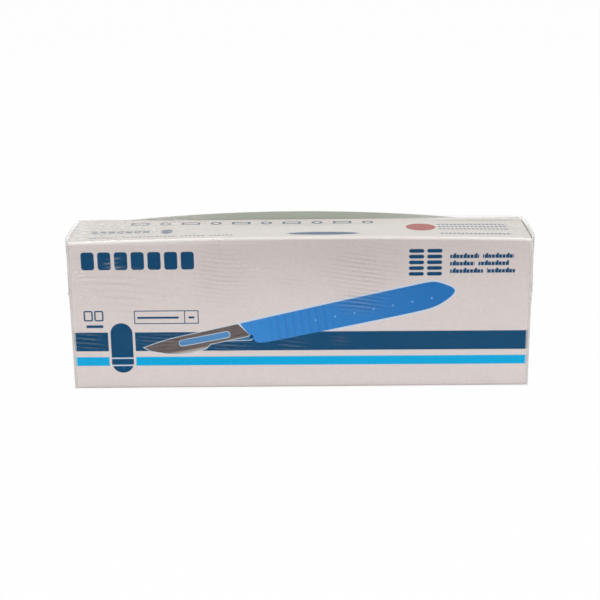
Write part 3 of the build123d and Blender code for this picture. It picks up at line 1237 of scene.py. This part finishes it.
@dataclass(frozen=True)
class BackFilm:
    """Film on the back: the weld, with faint ripples about it."""

    ripples: Wrinkles = Wrinkles(spacing=4.0, slant=0.1, stretch=60.0, seed=21)
    reach: Place = (200.0, 16.0)
    ripple_height: float = 0.06
    ripple_haze: float = 0.1
    ripple_shade: float = 0.1

    def relief(self, x: Field, z: Field, weld: Weld) -> Relief:
        """Works out the back.

        Args:
            x: place along the back.
            z: place up the back.
            weld: the welded line.

        Returns:
            Height, haze and shade.
        """
        band = weld.at(z)
        ripples = self.ripples.at(x, z) * Spot(1.0, (0.0, weld.level), self.reach).at(x, z)
        haze = weld.haze * band + self.ripple_haze * np.clip(ripples, 0, 1)
        height = band * weld.height + self.ripple_height * ripples
        return height, haze, self.ripple_shade * np.clip(-ripples, 0, 1)


@dataclass(frozen=True)
class EndFilm:
    """Film on an end: the weld, with a fan of pleats at each side where the film was gathered.

    Attributes:
        fan_inset: from the film's front or back to the middle of a fan.
        pleats: how many pleats a whole turn would hold.
        pleat_shift: turn of the fans at one end of the carton against those at the other.
        fan_start: distance from the middle at which the pleats begin.
        fan_reach: distance over which they run out.
        pleat_height: height of a pleat.
        pleat_haze: haze of a pleat.
        crumples: slack wrinkles of the whole end.
        crumple_height: height of the wrinkles.
        crumple_haze: haze of the wrinkles.
        crumple_shade: shade of the wrinkles.
        inner: rise from the end's tight edges to its slack middle.
        edge_haze: haze at the tight edges.
        edge_painted_shade: painted shade at the tight edges, which greys the film there.
        ear: pinch that stands up at the top of the left end.
        limits: lowest and highest the film may lie.
    """

    fan_inset: float = 2.5
    pleats: int = 12
    pleat_shift: float = 0.3
    fan_start: Rise = Rise(1.0, 0.5, 2.5)
    fan_reach: float = 11.0
    pleat_height: float = 0.45
    pleat_haze: float = 0.5
    crumples: Wrinkles = Wrinkles(spacing=5.5, slant=0.4, stretch=20.0, seed=31)
    crumple_height: float = 0.1
    crumple_haze: float = 0.1
    crumple_shade: float = 0.2
    inner: Rise = Rise(1.0, 0.5, 4.0)
    edge_haze: float = 0.6
    # painted shade along the end's tight edges
    edge_painted_shade: float = 0.4
    ear: Spot = Spot(0.5, (4.0, 62.0), (1.6, 2.0))
    limits: Place = (-0.3, 0.6)

    def relief(self, x: Field, y: Field, z: Field, weld: Weld, half_depth: float) -> Relief:
        """Works out both ends.

        Args:
            x: place along the carton, which tells one end from the other.
            y: place across the end.
            z: place up the end.
            weld: the welded line.
            half_depth: from the end's middle to the film's front and back.

        Returns:
            Height, haze and shade.
        """
        band = weld.at(z)
        height, haze = band * weld.height, weld.haze * band
        for side in (-1, 1):
            away_y, away_z = y - side * (half_depth - self.fan_inset), z - weld.level
            distance = np.hypot(away_y, away_z)
            turn = np.arctan2(away_z, -side * away_y)
            wave = np.cos(self.pleats * turn + side + self.pleat_shift * np.sign(x))
            reach = self.fan_start.at(distance) * np.exp(-(distance / self.fan_reach) ** 2)
            pleats = np.clip(wave, 0, 1) ** 2
            height = height + self.pleat_height * pleats * reach
            haze = haze + self.pleat_haze * pleats * reach
        crumple = self.crumples.at(y, z)
        inner = self.inner.at(half_depth - np.abs(y))
        height = (height + self.crumple_height * crumple) * inner + self.ear.at(y, z) * (x < 0)
        haze = (haze + self.crumple_haze * np.clip(crumple, 0, 1)) * inner + self.edge_haze * (1 - inner)
        shade = self.crumple_shade * np.clip(-crumple, 0, 1) * inner + self.edge_painted_shade * (1 - inner)
        return np.clip(height, *self.limits), haze, shade


@dataclass
class Girth:
    """Stations once round the carton in the YZ plane: places and outward directions."""

    y: Field
    z: Field
    out_y: Field
    out_z: Field


@dataclass
class ShrinkWrap:
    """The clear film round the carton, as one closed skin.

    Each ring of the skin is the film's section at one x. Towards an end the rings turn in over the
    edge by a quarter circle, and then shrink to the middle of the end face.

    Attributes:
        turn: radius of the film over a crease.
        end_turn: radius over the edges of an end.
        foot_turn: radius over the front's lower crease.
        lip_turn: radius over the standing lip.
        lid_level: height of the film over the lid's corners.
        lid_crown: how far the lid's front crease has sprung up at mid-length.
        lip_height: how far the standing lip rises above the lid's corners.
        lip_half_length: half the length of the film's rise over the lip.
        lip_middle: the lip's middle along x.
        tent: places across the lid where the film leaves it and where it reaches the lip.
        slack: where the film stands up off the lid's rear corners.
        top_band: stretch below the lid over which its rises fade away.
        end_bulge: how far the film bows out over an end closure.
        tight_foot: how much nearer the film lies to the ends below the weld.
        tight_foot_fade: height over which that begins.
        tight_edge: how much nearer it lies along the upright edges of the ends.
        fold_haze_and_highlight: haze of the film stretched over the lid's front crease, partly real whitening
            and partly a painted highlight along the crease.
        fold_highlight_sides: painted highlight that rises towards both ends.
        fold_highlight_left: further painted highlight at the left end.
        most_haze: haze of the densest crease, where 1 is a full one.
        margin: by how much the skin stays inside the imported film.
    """

    turn: float = 1.2
    end_turn: float = 0.4
    foot_turn: float = 0.5
    lip_turn: float = 0.45
    lid_level: float = 64.4
    lid_crown: float = 1.5
    lip_height: float = 3.4
    lip_half_length: float = 71.2
    lip_middle: float = -3.0
    tent: Place = (8.8, 16.8)
    slack: tuple[Spot, ...] = (Spot(0.9, (76.0, 14.0), (20.0, 7.0)), Spot(0.5, (-84.0, 14.0), (4.0, 4.0)))
    top_band: Place = (10.0, 0.5)
    end_bulge: float = 1.2
    tight_foot: float = 0.4
    tight_foot_fade: float = 8.0
    tight_edge: Rise = Rise(0.55, 11.0, 15.5)
    fold_haze_and_highlight: float = 0.1
    fold_highlight_sides: Rise = Rise(0.9, 30.0, 88.0)
    fold_highlight_left: Rise = Rise(0.9, 84.0, 92.0)
    most_haze: float = 1.6
    margin: float = 0.05
    weld: Weld = Weld()
    front: FrontFilm = FrontFilm()
    lid: LidFilm = LidFilm()
    back: BackFilm = BackFilm()
    end: EndFilm = EndFilm()
    finish: ShrunkFilm = ShrunkFilm()

    # Spacing and number of the skin's rings and stations
    ring_step: float = 0.86
    end_rings: int = 30
    turn_rings: int = 5
    front_step: float = 0.36
    lid_step: float = 0.7
    back_step: float = 1.2
    base_step: float = 5.0
    turn_stations: int = 7

    low: Vector = field(init=False)
    high: Vector = field(init=False)

    def __post_init__(self) -> None:
        """Takes the skin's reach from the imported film."""
        self.low, self.high = (Vector(corner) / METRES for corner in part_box("shrink_film"))
        self.half_depth = self.high.y - self.weld.height - self.margin
        self.half_length = self.high.x - self.end_bulge

    def girth(self) -> Girth:
        """Works out the film's section, from the front's foot up, over the lid and down the back.

        Returns:
            The stations: an arc at each corner, and then the straight side that follows it.
        """
        depth, top = self.half_depth, self.lid_level
        corners = ((-depth, 0.0, self.foot_turn, self.front_step, 180.0),
                   (-depth, top, self.turn, self.lid_step, 90.0),
                   (depth, top, self.lip_turn, self.back_step, 0.0),
                   (depth, 0.0, self.turn, self.base_step, -90.0))
        stretches = []
        for number, (corner_y, corner_z, radius, step, facing) in enumerate(corners):
            next_y, next_z, next_radius = corners[(number + 1) % len(corners)][:3]
            middle_y = corner_y - np.sign(corner_y) * radius
            middle_z = corner_z + (radius if corner_z < top / 2 else -radius)
            angle = np.radians(np.linspace(facing + 90, facing, self.turn_stations))
            arc_y, arc_z = middle_y + radius * np.cos(angle), middle_z + radius * np.sin(angle)
            stretches.append((arc_y, arc_z, np.cos(angle), np.sin(angle)))
            run = abs(next_y - corner_y) + abs(next_z - corner_z) - radius - next_radius
            share = np.linspace(0, 1, max(3, round(run / step)))[1:-1]
            side_y = arc_y[-1] + np.sign(next_y - corner_y) * run * share
            side_z = arc_z[-1] + np.sign(next_z - corner_z) * run * share
            even = np.ones(share.shape)
            stretches.append((side_y, side_z, even * np.cos(angle[-1]), even * np.sin(angle[-1])))
        return Girth(*(np.concatenate(parts) for parts in zip(*stretches)))

    def along(self, at_end: Field, between: Field, left_sign: int = 1) -> Field:
        """Joins the values of the left end's rings, of the rings between and of the right end's."""
        return np.concatenate([left_sign * at_end, between, at_end[::-1]])[:, None]

    def surface(self) -> tuple[Field, Field, Field]:
        """Works out the skin's rings.

        Returns:
            Points by ring, station and axis, and the haze and the shade at each point.
        """
        girth = self.girth()
        flat = self.half_length - self.end_turn
        arc = np.linspace(pi / 2, 0, self.turn_rings + 1)[1:]
        whole = np.ones(self.end_rings)
        growing = (np.arange(self.end_rings) + 1) / self.end_rings
        between = np.linspace(-flat, flat, round(2 * flat / self.ring_step))[1:-1]
        level = np.zeros(between.shape)
        end_x = np.concatenate([whole * self.half_length, flat + self.end_turn * np.sin(arc)])
        end_inset = np.concatenate([whole * self.end_turn, self.end_turn * (1 - np.cos(arc))])
        x = self.along(end_x, between, -1)
        inset = self.along(end_inset, level)
        scale = self.along(np.concatenate([growing, np.ones(self.turn_rings)]), level + 1)
        out_x = self.along(np.concatenate([whole, np.sin(arc)]), level, -1)
        around = np.sqrt(1 - out_x ** 2)
        centre_z = self.lid_level / 2
        y = scale * (girth.y - girth.out_y * inset)
        z = centre_z + scale * (girth.z - girth.out_z * inset - centre_z)
        out = np.stack([out_x + 0 * y, around * girth.out_y, around * girth.out_z], axis=-1)
        x = x + 0 * y
        z = z + self.crown(x, y, z) + self.rise(x, y, z)
        x = x + np.sign(x) * (self.bulge(y, z) - self.tightness(y, z)) * np.abs(out[..., 0])
        points = np.stack([x, y, z], axis=-1)
        height, haze, shade = self.relief(points, out)
        points = np.clip(points + out * height[..., None], list(self.low), list(self.high))
        return points, haze, shade

    def crown(self, x: Field, y: Field, z: Field) -> Field:
        """Rise of the lid's sprung front crease: a parabola of x, straight down to nothing at the rear."""
        along = np.clip(1 - (x / (self.half_length - self.turn)) ** 2, 0, None)
        return self.lid_crown * along * z / self.lid_level * (self.half_depth - y) / 2 / self.half_depth

    def rise(self, x: Field, y: Field, z: Field) -> Field:
        """Works out the rise of the film over the standing lip: a parabola of x, a straight ramp of y.

        Args:
            x: place along the carton.
            y: place across it.
            z: place up it, below which the rise fades away.

        Returns:
            The rise, with the slack at the lid's rear corners.
        """
        toe, top = self.tent
        along = np.clip(1 - ((x - self.lip_middle) / self.lip_half_length) ** 2, 0, None)
        ramp = np.clip((y - toe) / (top - toe), 0, 1)
        loose = sum(spot.at(x, y) for spot in self.slack)
        start, finish = (self.lid_level - below for below in self.top_band)
        return (self.lip_height * along * ramp + loose) * Rise(1.0, start, finish).at(z)

    def bulge(self, y: Field, z: Field) -> Field:
        """Bow of an end: 1 - (y / half width)^4 across it, growing evenly from its foot to its top."""
        across = np.clip(1 - (y / (self.half_depth - self.turn)) ** 4, 0, 1)
        return self.end_bulge * across * np.clip(z / self.lid_level, 0, 1)

    def tightness(self, y: Field, z: Field) -> Field:
        """How much nearer the film lies to an end, below the weld or along the end's upright edges."""
        foot = Rise(self.tight_foot, -self.weld.level, -self.weld.level + self.tight_foot_fade)
        return np.maximum(foot.at(-z), self.tight_edge.at(np.abs(y)))

    def relief(self, points: Field, out: Field) -> Relief:
        """Works out how far the film stands off its smooth form, and how it changes what shows through.

        Args:
            points: the smooth form.
            out: its outward directions.

        Returns:
            Heights in millimetres, haze from 0 to a little over 1 and shade from 0 to 1.
        """
        x, y, z = (points[..., axis] for axis in range(3))
        out_x, out_y, out_z = (out[..., axis] for axis in range(3))
        front = np.clip(-out_y, 0, 1) ** 2 * np.stack(self.front.relief(x, z))
        lid = np.clip(out_z, 0, 1) ** 2 * np.stack(self.lid.relief(x, y))
        back = np.clip(out_y, 0, 1) ** 2 * np.stack(self.back.relief(x, z, self.weld))
        end = out_x ** 2 * np.stack(self.end.relief(x, y, z, self.weld, self.half_depth))
        height, haze, shade = front + lid + back + end
        folded = np.clip(-2 * out_y * out_z, 0, 1) * (1 - out_x ** 2)
        # film over the lid's front crease: haze that is partly real whitening, partly a painted highlight
        fold_haze_and_highlight = self.fold_haze_and_highlight + self.fold_highlight_sides.at(np.abs(x)) + self.fold_highlight_left.at(-x)
        return height, np.clip(haze + folded * fold_haze_and_highlight, 0, self.most_haze), np.clip(shade, 0, 1)

    def build(self) -> bpy.types.Object:
        """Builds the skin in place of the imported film.

        Returns:
            The finished piece.
        """
        points, *attributes = self.surface()
        rings, stations, _ = points.shape
        poles = np.stack([points[0].mean(0), points[-1].mean(0)])
        index = np.arange(rings * stations).reshape(rings, stations)
        following = np.roll(index, -1, axis=1)
        quads = np.stack([index[:-1], following[:-1], following[1:], index[1:]], axis=-1).reshape(-1, 4)
        first_pole, last_pole = (np.full(stations, rings * stations + pole) for pole in (0, 1))
        left = np.stack([first_pole, following[0], index[0]], axis=-1)
        right = np.stack([last_pole, index[-1], following[-1]], axis=-1)
        mesh = bpy.data.meshes.new("film_skin")
        vertices = np.concatenate([points.reshape(-1, 3), poles]) * METRES
        mesh.from_pydata(vertices, [], [*quads.tolist(), *left.tolist(), *right.tolist()])
        mesh.polygons.foreach_set("use_smooth", np.ones(len(mesh.polygons), bool))
        for name, values in zip(("haze", "shade"), attributes):
            layer = mesh.attributes.new(name, "FLOAT", "POINT")
            layer.data.foreach_set("value", np.append(values.ravel(), [0.0, 0.0]).astype(np.float32))
        mesh.materials.append(self.finish.material())
        mesh.update()
        skin = bpy.data.objects.new("film_skin", mesh)
        bpy.context.scene.collection.objects.link(skin)
        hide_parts("shrink_film")
        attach(skin, "root")
        return skin


@dataclass(frozen=True)
class PaleFloor:
    """Matt white painted floor, which reads as plain white and keeps a faint contact shadow."""

    colour: str = "#e6e6e6"
    glow: float = 0.97  # share of plain white that the camera sees in place of the lit paint

    def material(self) -> bpy.types.Material:
        """Makes the floor's material.

        Returns:
            The material.
        """
        material, tree = new_material("matt_white_floor_paint")
        share = chain(tree, "Math", seen_directly(tree), ("MULTIPLY", self.glow))
        paint = add_node(tree, "BsdfDiffuse", (linear(self.colour),)).outputs[0]
        white = add_node(tree, "Emission").outputs[0]
        surface = add_node(tree, "MixShader", (share, paint, white)).outputs[0]
        add_node(tree, "OutputMaterial", (surface,))
        return material


@dataclass(frozen=True)
class SoftBox:
    """A rectangular studio light with a diffuser.

    Attributes:
        name: what it is for.
        place: its middle, in metres.
        size: its width and depth, in metres.
        brightness: how bright its face looks, where 1 is plain white.
        mirrored: whether glossy surfaces mirror it.
    """

    name: str
    place: tuple[float, float, float]
    size: Place
    brightness: float
    mirrored: bool = True

    def hang(self, target: Vector) -> None:
        """Hangs the light so that it faces target. Its power is brightness times pi times its area.

        Args:
            target: a point in metres.
        """
        lamp = bpy.data.lights.new(self.name, "AREA")
        lamp.shape = "RECTANGLE"
        lamp.size, lamp.size_y = self.size
        lamp.energy = self.brightness * pi * self.size[0] * self.size[1]
        box = bpy.data.objects.new(self.name, lamp)
        box.location = self.place
        box.rotation_euler = (Vector(self.place) - target).to_track_quat("Z", "Y").to_euler()
        box.visible_camera = False
        box.visible_glossy = self.mirrored
        bpy.context.scene.collection.objects.link(box)


@dataclass
class Studio:
    """Floor, surroundings, lights and camera.

    Attributes:
        floor_half: half the floor's side, in metres.
        floor_gap: from the film down to the floor, in metres.
        surround: how much light the plain surroundings give, where 1 is white.
        lights: the lights that face the carton.
        card: white card that lies before the carton and throws light up its front.
        camera_place: where the camera stands, in metres.
        camera_lens: focal length.
        camera_sensor: width of the sensor.
        camera_reach: nearest and furthest that the camera sees, in metres.
        camera_pitch: degrees that it looks down.
        camera_yaw: degrees that it is turned to the left.
        camera_roll: degrees that it is rolled about its own axis.
    """

    floor_half: float = 4.0
    floor_gap: float = 0.00002
    surround: float = 0.45
    lights: tuple[SoftBox, ...] = (
        SoftBox("overhead_softbox", (0.0, -0.02, 0.95), (0.95, 0.7), 2.37),
        SoftBox("front_fill", (0.15, -1.5, 0.75), (1.3, 0.9), 1.45),
        SoftBox("back_fill", (0.0, 2.6, 1.3), (2.4, 1.6), 1.0, mirrored=False))
    card: SoftBox = SoftBox("white_card", (0.0, -0.0735, 0.0005), (0.6, 0.11), 0.45)
    camera_place: tuple[float, float, float] = (0.0037, -0.54587, 0.2134)
    camera_lens: float = 80.88
    camera_sensor: float = 36.0
    camera_reach: Place = (0.01, 50.0)
    camera_pitch: float = 18.283
    camera_yaw: float = 0.412
    camera_roll: float = -0.609

    def build(self, finish: PaleFloor) -> None:
        """Sets up the whole studio.

        Args:
            finish: the floor's finish.
        """
        self.lay_floor(finish)
        self.surroundings()
        middle = sum(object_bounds(), Vector()) / 2
        for light in self.lights:
            light.hang(middle)
        self.card.hang(Vector(self.card.place) + Vector((0, 0, 1)))
        self.camera()
        bpy.context.scene.view_settings.view_transform = "Standard"

    def lay_floor(self, finish: PaleFloor) -> None:
        """Lays the floor just under the film, as a square of four points.

        Args:
            finish: the floor's finish.
        """
        side = np.array([[-1, -1], [1, -1], [1, 1], [-1, 1]]) * self.floor_half
        mesh = bpy.data.meshes.new("floor")
        mesh.from_pydata(np.column_stack([side, np.full(4, -self.floor_gap)]), [], [(0, 1, 2, 3)])
        mesh.materials.append(finish.material())
        floor = bpy.data.objects.new("floor", mesh)
        bpy.context.scene.collection.objects.link(floor)
        floor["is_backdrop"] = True

    def surroundings(self) -> None:
        """Makes the world plain white to look at, and a weak even light on what is matt."""
        world = bpy.data.worlds.new("plain_white")
        world.use_nodes = True
        tree = world.node_tree
        tree.nodes.clear()
        values = (seen_directly(tree), 0.0, 1.0, self.surround, 1.0)
        strength = add_node(tree, "MapRange", values).outputs[0]
        white = add_node(tree, "Background", {"Color": (1, 1, 1, 1), "Strength": strength}).outputs[0]
        add_node(tree, "OutputWorld", (white,))
        bpy.context.scene.world = world

    def camera(self) -> None:
        """Places the camera: pitched down, turned a little and rolled about its own axis."""
        lens = bpy.data.cameras.new("camera")
        lens.lens = self.camera_lens
        lens.sensor_width = self.camera_sensor
        lens.clip_start, lens.clip_end = self.camera_reach
        camera = bpy.data.objects.new("camera", lens)
        turn = Matrix.Rotation(radians(self.camera_yaw), 4, "Z")
        pitch = Matrix.Rotation(radians(90 - self.camera_pitch), 4, "X")
        roll = Matrix.Rotation(radians(self.camera_roll), 4, "Z")
        camera.matrix_world = Matrix.Translation(self.camera_place) @ turn @ pitch @ roll
        bpy.context.scene.collection.objects.link(camera)
        bpy.context.scene.camera = camera


def main() -> None:
    """Builds and dresses each piece, and then the studio."""
    logging.basicConfig(level=logging.INFO, format="%(message)s")
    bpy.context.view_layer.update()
    Carton().dress(frame["nodes"]["carton"])
    log.info("carton: printed board")
    skin = ShrinkWrap().build()
    log.info("%s: %d faces", skin.name, len(skin.data.polygons))
    Studio().build(PaleFloor())
    log.info("studio: floor, lights and camera")


if __name__ == "__main__":
    main()
